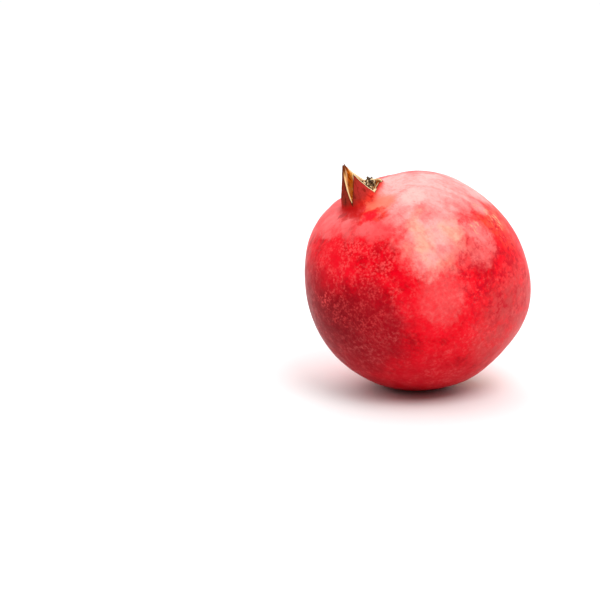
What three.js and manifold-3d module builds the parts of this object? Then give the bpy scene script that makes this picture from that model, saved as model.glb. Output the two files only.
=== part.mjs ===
// Whole pomegranate lying tipped over on a small flat, its crown of sepals up and to the left.
// Millimetres, +Z up, z = 0 on the floor. Built upright along its own axis, then leaned over.
import * as THREE from 'three';
import { mergeVertices } from 'three/addons/utils/BufferGeometryUtils.js';
import Module from 'manifold-3d';

const wasm = await Module();
wasm.setup();

const DEG = Math.PI / 180;

// body: a round skin with six soft ridges, a few broad bulges and hollows, and a dimple at the stem
const BODY_RADIUS = 48.0;
const RIDGES = 6;
const RIDGE_DEPTH = 0.35;
const RIDGE_TURN = 10 * DEG;
const CROWN_FLAT = 3.8;
const CROWN_FLAT_WIDTH = 22 * DEG;
const DIMPLE = 2.6;
const DIMPLE_WIDTH = 9 * DEG;
const CHEEKS = [
  { down: 72, round: 97, depth: 3.3, width: 38 },
  { down: 128, round: 72, depth: -1.3, width: 24 },
  { down: 36, round: -126, depth: -1.9, width: 24 },
  { down: 80, round: -150, depth: 1.0, width: 28 },
  { down: 105, round: 10, depth: 0.9, width: 26 },
  { down: 60, round: -60, depth: -0.7, width: 22 },
  { down: 115, round: 170, depth: 0.9, width: 30 },
  { down: 152, round: 45, depth: 0.7, width: 18 },
];

// crown: the neck that rises from the body, the sepals round it and the cup inside
const NECK_RADIUS = 10.6;
const NECK_LEVEL = 45.4;
const NECK_START = 24 * DEG;
const NECK_REACH = 4.0;
const NECK_PULL = 2.6;
const NECK_SLOPE = 28 * DEG;
const WALL = 2.0;
const EDGE = 0.8;
const WALL_FADE = 4.0;
const RIM_RISE = 0.25;
const HINGE_LEVEL = 2.2;
const HINGE_LENGTH = 5.0;
const TAPER = 0.6;
const CUP_RADIUS = 7.4;
const CUP_FLOOR = 41.5;
// each sepal starts at a notch: its angle, the notch height, tip height, inward lean, side shift
const SEPALS = [
  { from: -42, notch: 2.4, tip: 14.0, lean: 0, side: 0.16 },
  { from: 25, notch: 2.5, tip: 2.9, lean: 0, side: 0 },
  { from: 78, notch: 1.2, tip: 1.2, lean: 0, side: 0 },
  { from: 152, notch: 3.0, tip: 18.2, lean: 0, side: -0.04 },
  { from: 214, notch: 3.0, tip: 15.6, lean: 4, side: 0 },
  { from: 250, notch: 3.0, tip: 19.0, lean: 4, side: 0.02 },
];

// rows and columns of the skin
const COLUMNS_PER_SEPAL = 10;
const BODY_ROWS = 25;
const NECK_ROWS = 4;
const SEPAL_ROWS = 6;
const CUP_ROWS = 4;

// dried stamens standing on a pad in the cup, with one thicker style in the middle
const STAMENS = 48;
const STAMEN_SIDES = 4;
const STAMEN_RADIUS = 0.36;
const STAMEN_BULGE = 0.5;
const ANTHER_RADIUS = 0.72;
const ANTHER_LENGTH = 1.9;
const ROOT_SPREAD = 5.0;
const ROOT_SINK = 0.9;
const TUFT_SPREAD = 4.3;
const TUFT_TURN_SCATTER = 0.25;
const TUFT_TOP_SCATTER = 1.2;
const TUFT_SHIFT = 2.9;
const TUFT_OPEN_SIDE = 80 * DEG;
const TUFT_TOP = 49.0;
const PAD_RADIUS = 6.1;
const PAD_GAP = 0.3;
const PAD_HEIGHT = 1.4;
const ROOT_LEVEL = CUP_FLOOR + PAD_GAP + PAD_HEIGHT - ROOT_SINK;
const PAD_SIDES = 24;
const STYLE_RADIUS = 0.8;
const STYLE_SIDES = 8;
const GOLDEN_TURN = 137.508 * DEG;
const SEED = 7;

// woody stub left in the dimple
const STEM_GAP = 0.5;
const STEM_LENGTH = 5.0;
const STEM_RADIUS = 2.4;
const STEM_LOBE = 0.05;
const STEM_SIDES = 16;

// how the fruit lies, and how far its underside is flattened where it rests
const TIP_OVER = 33.0 * DEG;
const HEADING = 197.6 * DEG;
const SPIN = 83.3 * DEG;
const REST_DEPTH = 0.9;
const CUT_SIZE = 120.0;

// turn used to measure which way the skin runs
const SMALL_TURN = 0.001;

// distance from the centre to the skin, by angle down from the crown and angle round
function skinRadius(down, round) {
  const side = Math.sin(down) ** 2;
  const ridge = Math.abs(Math.sin((RIDGES / 2) * (round - RIDGE_TURN)));
  let radius = BODY_RADIUS - 2 * RIDGE_DEPTH * side * (1 - ridge);
  const here = new THREE.Vector3().setFromSphericalCoords(1, down, round);
  for (const cheek of CHEEKS) {
    const middle = new THREE.Vector3().setFromSphericalCoords(1, cheek.down * DEG, cheek.round * DEG);
    const away = here.angleTo(middle) / (cheek.width * DEG);
    radius -= cheek.depth * Math.exp(-away * away);
  }
  radius -= CROWN_FLAT * Math.exp(-((down / CROWN_FLAT_WIDTH) ** 2));
  radius -= DIMPLE * Math.exp(-(((Math.PI - down) / DIMPLE_WIDTH) ** 2));
  return radius;
}

// point at a distance from the axis, an angle round it and a height along it
function ringPoint(distance, round, height) {
  return [distance * Math.cos(round), distance * Math.sin(round), height];
}

// sepals with their middle angle, half width and the height of the notch after them
function sepalSpans() {
  return SEPALS.map((sepal, index) => {
    const next = SEPALS[(index + 1) % SEPALS.length];
    const to = next.from > sepal.from ? next.from : next.from + 360;
    return {
      ...sepal,
      middle: ((sepal.from + to) / 2) * DEG,
      half: ((to - sepal.from) / 2) * DEG,
      nextNotch: next.notch,
    };
  });
}

// columns of the skin: each one's sepal, the sepal before it, its angle and how high its edge is
function skinColumns() {
  const sepals = sepalSpans();
  return sepals.flatMap((sepal, index) => {
    const before = sepals[(index + sepals.length - 1) % sepals.length];
    const columns = [];
    for (let step = 0; step < COLUMNS_PER_SEPAL; step += 1) {
      const across = (2 * step) / COLUMNS_PER_SEPAL - 1;
      const low = sepal.notch + ((sepal.nextNotch - sepal.notch) * (across + 1)) / 2;
      const narrow = 1 - TAPER * Math.abs(across) - (1 - TAPER) * across * across;
      columns.push({
        sepal,
        before,
        atNotch: step === 0,
        round: sepal.middle + sepal.half * across,
        top: low + (sepal.tip - low) * narrow,
      });
    }
    return columns;
  });
}

// a point of the crown's sloping tube, carried further inward as its sepal bends over the hinge
function bendSepal(sepal, distance, round, height) {
  const { middle } = sepal;
  const inset = distance - NECK_RADIUS;
  const slopedOut = NECK_RADIUS - height * Math.sin(NECK_SLOPE) + inset * Math.cos(NECK_SLOPE);
  const slopedUp = height * Math.cos(NECK_SLOPE) + inset * Math.sin(NECK_SLOPE);
  const lean = Math.abs(sepal.lean) > 0.01 ? sepal.lean * DEG : 0.0002;
  const above = Math.max(slopedUp - HINGE_LEVEL, 0);
  const bent = Math.min(above, HINGE_LENGTH);
  const past = above - bent;
  const turn = (lean * bent) / HINGE_LENGTH;
  const inward = -(HINGE_LENGTH / lean) * (1 - Math.cos(turn)) - past * Math.sin(lean);
  const upward = (HINGE_LENGTH / lean) * Math.sin(turn) + past * Math.cos(lean);
  const depth = slopedOut * Math.cos(round - middle) - NECK_RADIUS;
  const out = NECK_RADIUS + inward + depth * Math.cos(turn);
  const tilted = slopedUp > HINGE_LEVEL ? depth * Math.sin(turn) : 0;
  const across = slopedOut * Math.sin(round - middle) + sepal.side * above;
  return [
    out * Math.cos(middle) - across * Math.sin(middle),
    out * Math.sin(middle) + across * Math.cos(middle),
    NECK_LEVEL + Math.min(slopedUp, HINGE_LEVEL) + upward + tilted,
  ];
}

// a sepal point of one column; a notch column takes the mean of the sepals on either side
function sepalPoint(column, distance, height) {
  const own = bendSepal(column.sepal, distance, column.round, height);
  if (!column.atNotch) {
    return own;
  }
  const other = bendSepal(column.before, distance, column.round, height);
  return own.map((value, axis) => (value + other[axis]) / 2);
}

// distance from the axis and height of the skin, by angle down from the crown and angle round
function profilePoint(down, round) {
  const radius = skinRadius(down, round);
  return new THREE.Vector2(radius * Math.sin(down), radius * Math.cos(down));
}

// neck: a cubic curve that leaves the body along its skin and ends rising at the crown's slope
function neckPoint(column, share) {
  const from = profilePoint(NECK_START, column.round);
  const ahead = profilePoint(NECK_START - SMALL_TURN, column.round);
  const toward = ahead.sub(from).setLength(NECK_REACH);
  const to = new THREE.Vector2(NECK_RADIUS, NECK_LEVEL);
  const under = new THREE.Vector2(
    NECK_RADIUS + NECK_PULL * Math.sin(NECK_SLOPE),
    NECK_LEVEL - NECK_PULL * Math.cos(NECK_SLOPE),
  );
  const curve = new THREE.CubicBezierCurve(from, from.clone().add(toward), under, to);
  const point = curve.getPoint(share);
  return ringPoint(point.x, column.round, point.y);
}

// thickness of a sepal, thinning from the neck to its edge
function wallAt(column, share) {
  const below = (1 - share) * column.top;
  return EDGE + (WALL - EDGE) * (1 - Math.exp(-below / WALL_FADE));
}

// body rings from the stem end up to the start of the neck
function bodyRings(columns) {
  const rings = [];
  for (let row = 1; row <= BODY_ROWS; row += 1) {
    const down = Math.PI - (row / BODY_ROWS) * (Math.PI - NECK_START);
    rings.push(columns.map((column) => {
      const point = profilePoint(down, column.round);
      return ringPoint(point.x, column.round, point.y);
    }));
  }
  return rings;
}

// neck rings from the body up to the crown
function neckRings(columns) {
  const rings = [];
  for (let row = 1; row <= NECK_ROWS; row += 1) {
    rings.push(columns.map((column) => neckPoint(column, row / NECK_ROWS)));
  }
  return rings;
}

// sepal rings up their outer faces, over their edges and down their inner faces
function sepalRings(columns) {
  const rings = [];
  for (let row = 1; row <= SEPAL_ROWS; row += 1) {
    const share = row / SEPAL_ROWS;
    rings.push(columns.map((column) => sepalPoint(column, NECK_RADIUS, share * column.top)));
  }
  const ridge = NECK_RADIUS - EDGE / 2;
  rings.push(columns.map((column) => sepalPoint(column, ridge, column.top + RIM_RISE)));
  for (let row = SEPAL_ROWS; row >= 0; row -= 1) {
    const share = row / SEPAL_ROWS;
    rings.push(columns.map((column) => {
      const distance = NECK_RADIUS - wallAt(column, share);
      return sepalPoint(column, distance, share * column.top);
    }));
  }
  return rings;
}

// cup rings down its wall to its floor, and one on the floor half way to the middle
function cupRings(columns) {
  const rings = [];
  for (let row = 1; row <= CUP_ROWS; row += 1) {
    const sink = Math.min(row / (CUP_ROWS - 1), 1);
    rings.push(columns.map((column) => {
      const mouth = NECK_RADIUS - wallAt(column, 0) * Math.cos(NECK_SLOPE);
      const mouthLevel = NECK_LEVEL - wallAt(column, 0) * Math.sin(NECK_SLOPE);
      const wide = mouth + (CUP_RADIUS - mouth) * sink;
      const distance = row < CUP_ROWS ? wide : CUP_RADIUS / 2;
      return ringPoint(distance, column.round, mouthLevel + (CUP_FLOOR - mouthLevel) * sink);
    }));
  }
  return rings;
}

// rings of the whole skin from the stem end, up the body and the crown, down into the cup
function skinRings() {
  const columns = skinColumns();
  const builders = [bodyRings, neckRings, sepalRings, cupRings];
  return builders.flatMap((build) => build(columns));
}

// closed body from rings of points, each ring joined to the next and both ends closed to a point
function closedRings(rings, first, last) {
  const count = rings[0].length;
  const points = [...rings.flat(), first, last].flat();
  const faces = [];
  for (let ring = 0; ring < rings.length - 1; ring += 1) {
    for (let step = 0; step < count; step += 1) {
      const next = (step + 1) % count;
      const a = ring * count + step;
      const b = ring * count + next;
      faces.push(a, b, b + count, a, b + count, a + count);
    }
  }
  const firstIndex = rings.length * count;
  const lastRing = (rings.length - 1) * count;
  for (let step = 0; step < count; step += 1) {
    const next = (step + 1) % count;
    faces.push(firstIndex, next, step);
    faces.push(firstIndex + 1, lastRing + step, lastRing + next);
  }
  return new wasm.Manifold(new wasm.Mesh({
    numProp: 3,
    vertProperties: new Float32Array(points),
    triVerts: new Uint32Array(faces),
  }));
}

// closed body from a geometry, its shared corners merged
function bodyOf(geometry) {
  const bare = new THREE.BufferGeometry();
  bare.setAttribute('position', geometry.getAttribute('position'));
  bare.setIndex(geometry.getIndex());
  const merged = mergeVertices(bare, 0.0001);
  return new wasm.Manifold(new wasm.Mesh({
    numProp: 3,
    vertProperties: new Float32Array(merged.getAttribute('position').array),
    triVerts: new Uint32Array(merged.getIndex().array),
  }));
}

// named mesh from a closed body
function meshOf(name, body, material) {
  const { vertProperties, triVerts } = body.getMesh();
  const geometry = new THREE.BufferGeometry();
  geometry.setAttribute('position', new THREE.BufferAttribute(new Float32Array(vertProperties), 3));
  geometry.setIndex(new THREE.BufferAttribute(new Uint32Array(triVerts), 1));
  geometry.computeVertexNormals();
  const mesh = new THREE.Mesh(geometry, material);
  mesh.name = name;
  return mesh;
}

// turn that lays the upright fruit over: spin about its axis, tip over, then face its heading
function layingTurn() {
  return new THREE.Matrix4().makeRotationZ(HEADING)
    .multiply(new THREE.Matrix4().makeRotationY(TIP_OVER))
    .multiply(new THREE.Matrix4().makeRotationZ(SPIN));
}

// lowest height any skin point reaches once the fruit is laid over
function lowestPoint(rings) {
  const turn = layingTurn();
  const heights = rings.flat().map((point) => new THREE.Vector3(...point).applyMatrix4(turn).z);
  return Math.min(...heights);
}

// fruit: body, neck, sepals and cup in one skin, with its underside cut flat where it rests
function makeFruit() {
  const rings = skinRings();
  const skin = closedRings(rings, [0, 0, -skinRadius(Math.PI, 0)], [0, 0, CUP_FLOOR]);
  const floor = lowestPoint(rings) + REST_DEPTH;
  const block = new THREE.BoxGeometry(CUT_SIZE, CUT_SIZE, CUT_SIZE);
  block.translate(0, 0, floor - CUT_SIZE / 2);
  block.applyMatrix4(layingTurn().invert());
  const material = new THREE.MeshStandardMaterial({ color: 0xc8202c, roughness: 0.42, metalness: 0 });
  return meshOf('fruit', skin.subtract(bodyOf(block)), material);
}

// spread value from -1 to 1 for one stamen, even over the tuft and the same every time
function scatter(index, track) {
  const steps = [0.7548776662, 0.5698402910, 0.3802775690];
  return 2 * ((SEED * 0.137 + (index + 1) * steps[track]) % 1) - 1;
}

// a tube along a path, round or few-sided, with its own radius at each station and a pointed end
function pathTube(path, radii, sides) {
  const along = new THREE.Vector3().subVectors(path[path.length - 1], path[0]).normalize();
  const sideways = new THREE.Vector3(-along.y, along.x, 0);
  const across = (sideways.length() > 0.01 ? sideways : new THREE.Vector3(1, 0, 0)).normalize();
  const over = new THREE.Vector3().crossVectors(along, across);
  const rings = radii.map((radius, station) => {
    const ring = [];
    for (let step = 0; step < sides; step += 1) {
      const turn = (2 * Math.PI * step) / sides;
      const point = path[station].clone()
        .addScaledVector(across, radius * Math.cos(turn))
        .addScaledVector(over, radius * Math.sin(turn));
      ring.push(point.toArray());
    }
    return ring;
  });
  return closedRings(rings, path[0].toArray(), path[path.length - 1].toArray());
}

// one stamen: a bent filament from the pad with a plump anther on its end
function makeStamen(index) {
  const round = index * GOLDEN_TURN;
  const share = Math.sqrt((index + 0.5) / STAMENS);
  const root = new THREE.Vector3(...ringPoint(ROOT_SPREAD * share, round, ROOT_LEVEL));
  const shift = new THREE.Vector3(...ringPoint(TUFT_SHIFT, TUFT_OPEN_SIDE, 0));
  const top = TUFT_TOP + TUFT_TOP_SCATTER * scatter(index, 1);
  const tipRound = round + TUFT_TURN_SCATTER * scatter(index, 0);
  const tip = new THREE.Vector3(...ringPoint(TUFT_SPREAD * share, tipRound, top)).add(shift);
  const bulge = new THREE.Vector3(...ringPoint(STAMEN_BULGE, round + 2 * scatter(index, 2), 0));
  const middle = root.clone().lerp(tip, 0.55).add(bulge);
  const end = new THREE.Vector3().subVectors(tip, middle).normalize();
  const path = [root, middle, tip];
  const radii = [STAMEN_RADIUS, STAMEN_RADIUS, STAMEN_RADIUS, ANTHER_RADIUS, ANTHER_RADIUS * 0.8];
  path.push(tip.clone().addScaledVector(end, ANTHER_LENGTH * 0.3));
  path.push(tip.clone().addScaledVector(end, ANTHER_LENGTH * 0.75));
  path.push(tip.clone().addScaledVector(end, ANTHER_LENGTH));
  return pathTube(path, radii, STAMEN_SIDES);
}

// style: the stouter stalk in the middle, with a small knob
function makeStyle() {
  const above = [0.9, 1.3];
  const middle = (ROOT_LEVEL + TUFT_TOP) / 2;
  const heights = [ROOT_LEVEL, middle, TUFT_TOP - 1, TUFT_TOP, ...above.map((rise) => TUFT_TOP + rise)];
  const path = heights.map((height) => new THREE.Vector3(0, 0, height));
  const radii = [1, 0.85, 0.7, 1.3, 1.1].map((factor) => factor * STYLE_RADIUS);
  return pathTube(path, radii, STYLE_SIDES);
}

// pad: a low round cushion on the floor of the cup that every stamen is rooted in
function makePad() {
  const base = CUP_FLOOR + PAD_GAP;
  const profile = [[PAD_RADIUS, 0], [PAD_RADIUS, 0.5], [PAD_RADIUS * 0.8, PAD_HEIGHT * 0.85]];
  const rings = profile.map(([distance, height]) => {
    const ring = [];
    for (let step = 0; step < PAD_SIDES; step += 1) {
      ring.push(ringPoint(distance, (2 * Math.PI * step) / PAD_SIDES, base + height));
    }
    return ring;
  });
  return closedRings(rings, [0, 0, base], [0, 0, base + PAD_HEIGHT]);
}

// stamens: pad, style and every stamen joined into one tuft
function makeStamens() {
  let tuft = makePad().add(makeStyle());
  for (let index = 0; index < STAMENS; index += 1) {
    tuft = tuft.add(makeStamen(index));
  }
  const material = new THREE.MeshStandardMaterial({ color: 0x4a3420, roughness: 0.85, metalness: 0 });
  return meshOf('stamens', tuft, material);
}

// stem: a short woody stub standing in the dimple, a little waisted, with a cut end
function makeStem() {
  const start = -skinRadius(Math.PI, 0) - STEM_GAP;
  const profile = [[0.98, 1], [1.08, 0.9], [0.86, 0.55], [0.84, 0.25], [0.8, 0.06], [0.68, 0]];
  const rings = profile.map(([factor, share]) => {
    const ring = [];
    for (let step = 0; step < STEM_SIDES; step += 1) {
      const round = (2 * Math.PI * step) / STEM_SIDES;
      const distance = STEM_RADIUS * factor * (1 + STEM_LOBE * Math.cos(3 * round + 1));
      ring.push(ringPoint(distance, round, start - STEM_LENGTH * share));
    }
    return ring;
  });
  const body = closedRings(rings, [0, 0, start - STEM_LENGTH], [0, 0, start]);
  const material = new THREE.MeshStandardMaterial({ color: 0x6b4a2c, roughness: 0.8, metalness: 0 });
  return meshOf('stem', body, material);
}

// the laid-over fruit: spin inside tip inside heading, then set on the floor and centred
function makePomegranate() {
  const spin = new THREE.Group();
  spin.rotation.z = SPIN;
  spin.add(makeFruit(), makeStamens(), makeStem());
  const tip = new THREE.Group();
  tip.rotation.y = TIP_OVER;
  tip.add(spin);
  const heading = new THREE.Group();
  heading.rotation.z = HEADING;
  heading.add(tip);
  const whole = new THREE.Group();
  whole.name = 'pomegranate';
  whole.add(heading);
  whole.updateMatrixWorld(true);
  const box = new THREE.Box3().setFromObject(whole, true);
  heading.position.set(-(box.min.x + box.max.x) / 2, -(box.min.y + box.max.y) / 2, -box.min.z);
  whole.updateMatrixWorld(true);
  return whole;
}

export default makePomegranate();
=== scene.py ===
import math
import bpy
import numpy as np
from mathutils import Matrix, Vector


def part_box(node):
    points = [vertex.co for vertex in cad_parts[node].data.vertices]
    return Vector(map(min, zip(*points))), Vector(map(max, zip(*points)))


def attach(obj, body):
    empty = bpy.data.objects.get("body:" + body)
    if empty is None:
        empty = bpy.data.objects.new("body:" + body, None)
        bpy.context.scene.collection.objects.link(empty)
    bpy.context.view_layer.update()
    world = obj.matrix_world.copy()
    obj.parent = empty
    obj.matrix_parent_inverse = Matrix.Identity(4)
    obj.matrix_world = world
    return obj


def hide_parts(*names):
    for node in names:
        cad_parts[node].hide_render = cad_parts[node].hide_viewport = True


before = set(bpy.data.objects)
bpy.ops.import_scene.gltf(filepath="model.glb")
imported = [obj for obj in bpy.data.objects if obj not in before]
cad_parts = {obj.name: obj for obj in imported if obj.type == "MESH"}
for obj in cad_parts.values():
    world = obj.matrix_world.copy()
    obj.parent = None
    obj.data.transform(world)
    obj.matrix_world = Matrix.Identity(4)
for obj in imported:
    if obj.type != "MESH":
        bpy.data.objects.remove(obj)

scene = bpy.context.scene
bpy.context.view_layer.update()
print("frame loaded:", ", ".join(sorted(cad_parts)))


def turnZ(angle):
    # rotation by angle about +Z
    c, s = math.cos(angle), math.sin(angle)
    return np.array([[c, -s, 0], [s, c, 0], [0, 0, 1]])


def turnY(angle):
    # rotation by angle about +Y
    c, s = math.cos(angle), math.sin(angle)
    return np.array([[c, 0, s], [0, 1, 0], [-s, 0, c]])


def ringPoints(distance, around, height):
    # (distance cos around, distance sin around, height)
    distance, around, height = np.broadcast_arrays(distance, around, height)
    return np.stack([distance * np.cos(around), distance * np.sin(around), height], -1)


def unitRows(vectors):
    # every vector divided by its length
    return vectors / np.linalg.norm(vectors, axis=-1, keepdims=True)


def bell(away, width):
    # exp(-(away / width)^2)
    return np.exp(-(away / width) ** 2)


def latticeNoise(points, size, seed):
    # random values from -1 to 1 on a cubic lattice of spacing size, repeated after period cells
    # and blended by 3t^2 - 2t^3 along each axis
    period = 32
    cells = np.random.default_rng(seed).uniform(-1, 1, (period, period, period))
    scaled = points / size
    low = np.floor(scaled).astype(int)
    part = scaled - low
    part = part * part * (3 - 2 * part)
    value = 0
    for corner in np.ndindex(2, 2, 2):
        cell = cells[tuple(np.moveaxis((low + corner) % period, -1, 0))]
        value = value + cell * np.prod(np.where(corner, part, 1 - part), -1)
    return value


def closedGrid(points, first, last):
    # quads of a grid (rows, columns, 3) whose columns close on themselves, and a fan of
    # triangles to one point before its first row and to one after its last
    rows, columns = points.shape[:2]
    vertices = np.concatenate([points.reshape(-1, 3), [first], [last]])
    step = np.arange(columns)
    following = (step + 1) % columns
    base = np.arange(rows)[:, None] * columns
    here, right = base + step, base + following
    quads = np.stack([here[:-1], right[:-1], right[1:], here[1:]], -1).reshape(-1, 4)
    firstFan = np.stack([np.full(columns, rows * columns), following, step], -1)
    lastFan = np.stack([np.full(columns, rows * columns + 1), here[-1], right[-1]], -1)
    return vertices, quads, np.concatenate([firstFan, lastFan])


def addObject(name, data):
    thing = bpy.data.objects.new(name, data)
    scene.collection.objects.link(thing)
    return thing


def makePiece(name, vertices, quads, triangles, material, attributes):
    # a smooth mesh at the origin, with attributes on its vertices
    mesh = bpy.data.meshes.new(name)
    mesh.from_pydata(vertices.tolist(), [], quads.tolist() + triangles.tolist(), shade_flat=False)
    mesh.validate()
    for label, values in attributes.items():
        kind, field = ("FLOAT_VECTOR", "vector") if values.ndim == 2 else ("FLOAT", "value")
        layer = mesh.attributes.new(label, kind, "POINT")
        layer.data.foreach_set(field, values.astype(np.float32).reshape(-1))
    mesh.materials.append(material)
    print(name, len(quads) * 2 + len(triangles), "triangles")
    return addObject(name, mesh)


# the fruit: body, neck, sepals and cup in one skin
fruit = {
    # how it lies: spun about its axis, tipped over, then turned to its heading, in degrees
    "spin": 83.3, "tipOver": 33.0, "heading": 197.6,
    # body, in metres and degrees
    "radius": 0.048, "ridges": 6, "ridgeDepth": 0.00035, "ridgeTurn": 10,
    "crownFlat": 0.0038, "crownFlatWidth": 22, "dimple": 0.0026, "dimpleWidth": 9,
    # broad hollows and bulges: angle down from the crown, angle round, depth, width
    "cheeks": [(72, 97, 0.0033, 38), (128, 72, -0.0013, 24), (36, -126, -0.0019, 24),
               (80, -150, 0.001, 28), (105, 10, 0.0009, 26), (60, -60, -0.0007, 22),
               (115, 170, 0.0009, 30), (152, 45, 0.0007, 18), (142, 60, -0.0005, 16),
               (113, 80, 0.0004, 9), (90, 90, -0.0003, 12), (72, 96, -0.0005, 12),
               (55, 106, -0.0007, 13), (30, 133, 0.0006, 8)],
    # crown, in metres and degrees
    "neckRadius": 0.0106, "neckLevel": 0.0454, "neckStart": 24, "neckReach": 0.004,
    "neckPull": 0.0026, "neckSlope": 28, "wall": 0.002, "edge": 0.0008, "wallFade": 0.004,
    "rimRise": 0.00025, "hingeLevel": 0.0022, "hingeLength": 0.005, "cupRadius": 0.0074,
    "cupFloor": 0.0415, "cupCorner": 0.0012,
    # sepals: starting notch angle, notch height, tip height, lean inward, side shift
    "sepals": [(-42, 0.0024, 0.014, 0, 0.16), (25, 0.0025, 0.0029, 0, 0),
               (78, 0.0012, 0.0012, 0, 0), (152, 0.003, 0.0182, 0, -0.04),
               (214, 0.003, 0.0156, 4, 0), (250, 0.003, 0.019, 4, 0.02)],
    # how straight a sepal's sides run to its tip, and how ragged its edge is
    "taper": 0.6, "rag": 0.00022, "ragHeight": 0.004, "ragCells": 9, "ragSpacing": 7.3,
    # lumps and dents: height, size, seed
    "lumps": [(0.00022, 0.021, 11), (0.00007, 0.0065, 12), (0.000028, 0.0065 / 3, 13)],
    # creases that fan out from the neck: count round the fruit, share, sway
    "creases": [(13, 1.0, 6.5), (29, 0.6, -7.8)],
    "creaseDepth": 0.00006, "creaseFade": 22, "creaseStart": 12, "creaseGaps": 0.016,
    "swaySize": 0.0168,
    # wrinkles along the sepals: depth, widths of the broad and the fine, radius they are spaced
    # at, squeeze along the sepal, height at which they are full, and how flat they are at a tip
    "wrinkle": 0.00016, "wrinkleWidths": (0.0011, 0.0005), "wrinkleRadius": 0.0098,
    "wrinkleSqueeze": 0.22, "wrinkleStart": 0.006, "tipFlat": 0.6,
    # rows and columns
    "columnsPerSepal": 56, "bodyRows": 128, "neckRows": 20, "sepalRows": 34,
    "rimRows": 5, "cupRows": 14,
    # how far above the floor the underside starts to round off from its flat
    "flatSoftness": 0.00025,
}


def skinRelief(down, around, facing):
    # lumps and dents, and creases share sin(count around + sway noise) with gaps, that fade by
    # exp(-(angle from the neck / fade)^1.5)
    f = fruit
    place = facing * f["radius"]
    rise = sum(height * latticeNoise(place, size, seed) for height, size, seed in f["lumps"])
    wander = latticeNoise(place, f["swaySize"], 14)
    fan = sum(share * np.sin(count * around + sway * wander) for count, share, sway in f["creases"])
    fan = fan * np.clip(0.6 + latticeNoise(place, f["creaseGaps"], 15), 0, 1)
    degrees = np.degrees(down)
    near = np.exp(-(np.maximum(degrees - f["neckStart"], 0) / f["creaseFade"]) ** 1.5)
    return rise + f["creaseDepth"] * fan * near * np.clip(degrees / f["creaseStart"], 0, 1)


def skinRadius(down, around, relief):
    # radius minus soft ridges sin^2(down) (1 - |sin 3(around - turn)|), minus bells for the
    # cheeks, the crown's flat and the stem's dimple, plus fine relief where asked for
    f = fruit
    ridge = np.abs(np.sin(f["ridges"] / 2 * (around - math.radians(f["ridgeTurn"]))))
    radius = f["radius"] - 2 * f["ridgeDepth"] * np.sin(down) ** 2 * (1 - ridge)
    facing = ringPoints(np.sin(down), around, np.cos(down))
    for cheekDown, cheekRound, depth, width in f["cheeks"]:
        tilt = math.radians(cheekDown)
        middle = ringPoints(math.sin(tilt), math.radians(cheekRound), math.cos(tilt))
        away = np.arccos(np.clip(facing @ middle, -1, 1))
        radius = radius - depth * bell(away, math.radians(width))
    radius = radius - f["crownFlat"] * bell(down, math.radians(f["crownFlatWidth"]))
    radius = radius - f["dimple"] * bell(np.pi - down, math.radians(f["dimpleWidth"]))
    return radius + skinRelief(down, around, facing) if relief else radius


def sepalColumns():
    # for every column: its angle, its place across its sepal from -1 to 1, the sepal's middle
    # angle, lean and side shift, and the height of the edge, a little ragged:
    # notch + (tip - notch)(1 - taper |across| - (1 - taper) across^2)
    f = fruit
    per, taper = f["columnsPerSepal"], f["taper"]
    start, notch, tip, lean, side = np.array(f["sepals"], float).T
    end = np.roll(start, -1)
    end = np.where(end > start, end, end + 360)
    across = np.tile(2 * np.arange(per) / per - 1, len(start))
    which = np.repeat(np.arange(len(start)), per)
    middle, half = (start + end) / 2, (end - start) / 2
    around = np.radians(middle[which] + half[which] * across)
    low = notch[which] + (np.roll(notch, -1) - notch)[which] * (across + 1) / 2
    top = low + (tip[which] - low) * (1 - taper * np.abs(across) - (1 - taper) * across ** 2)
    place = np.stack([across * f["ragCells"], which * f["ragSpacing"], 0 * across], -1)
    ragged = latticeNoise(place, 1.0, 21) * (1 - across ** 4)
    top = top + f["rag"] * ragged * np.clip(top / f["ragHeight"], 0, 1)
    return {"around": around, "middle": np.radians(middle)[which], "across": across, "top": top,
            "lean": np.radians(lean)[which], "side": side[which]}


def bendSepals(columns, distance, height):
    # the crown's tube slopes inward as a cone, then each sepal turns about its own base by an
    # angle that grows evenly over the hinge's length
    f = fruit
    slope, neck, hinge = math.radians(f["neckSlope"]), f["neckRadius"], f["hingeLength"]
    inset = distance - neck
    distance = neck - height * math.sin(slope) + inset * math.cos(slope)
    height = height * math.cos(slope) + inset * math.sin(slope)
    smallest = 1e-4  # the lean of a straight sepal, so that nothing is divided by 0
    lean = np.where(np.abs(columns["lean"]) > smallest, columns["lean"], smallest)
    above = np.maximum(height - f["hingeLevel"], 0)
    bent = np.minimum(above, hinge)
    turn = lean * bent / hinge
    inward = -(hinge / lean) * (1 - np.cos(turn)) - (above - bent) * np.sin(lean)
    upward = (hinge / lean) * np.sin(turn) + (above - bent) * np.cos(lean)
    middle = columns["middle"]
    off = columns["around"] - middle
    depth = distance * np.cos(off) - neck
    out = neck + inward + depth * np.cos(turn)
    tilted = np.where(height > f["hingeLevel"], depth * np.sin(turn), 0)
    sideways = distance * np.sin(off) + columns["side"] * above
    return np.stack([out * np.cos(middle) - sideways * np.sin(middle),
                     out * np.sin(middle) + sideways * np.cos(middle),
                     f["neckLevel"] + np.minimum(height, f["hingeLevel"]) + upward + tilted], -1)


def bodyGrid(around, relief):
    # r(down, around) swept from the stem end up to where the neck starts
    start, rows = math.radians(fruit["neckStart"]), fruit["bodyRows"]
    share = np.arange(1, rows + 1) / rows
    down = (np.pi - share * (np.pi - start))[:, None] + 0 * around
    radius = skinRadius(down, around + 0 * down, relief)
    return ringPoints(radius * np.sin(down), around, radius * np.cos(down))


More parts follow.
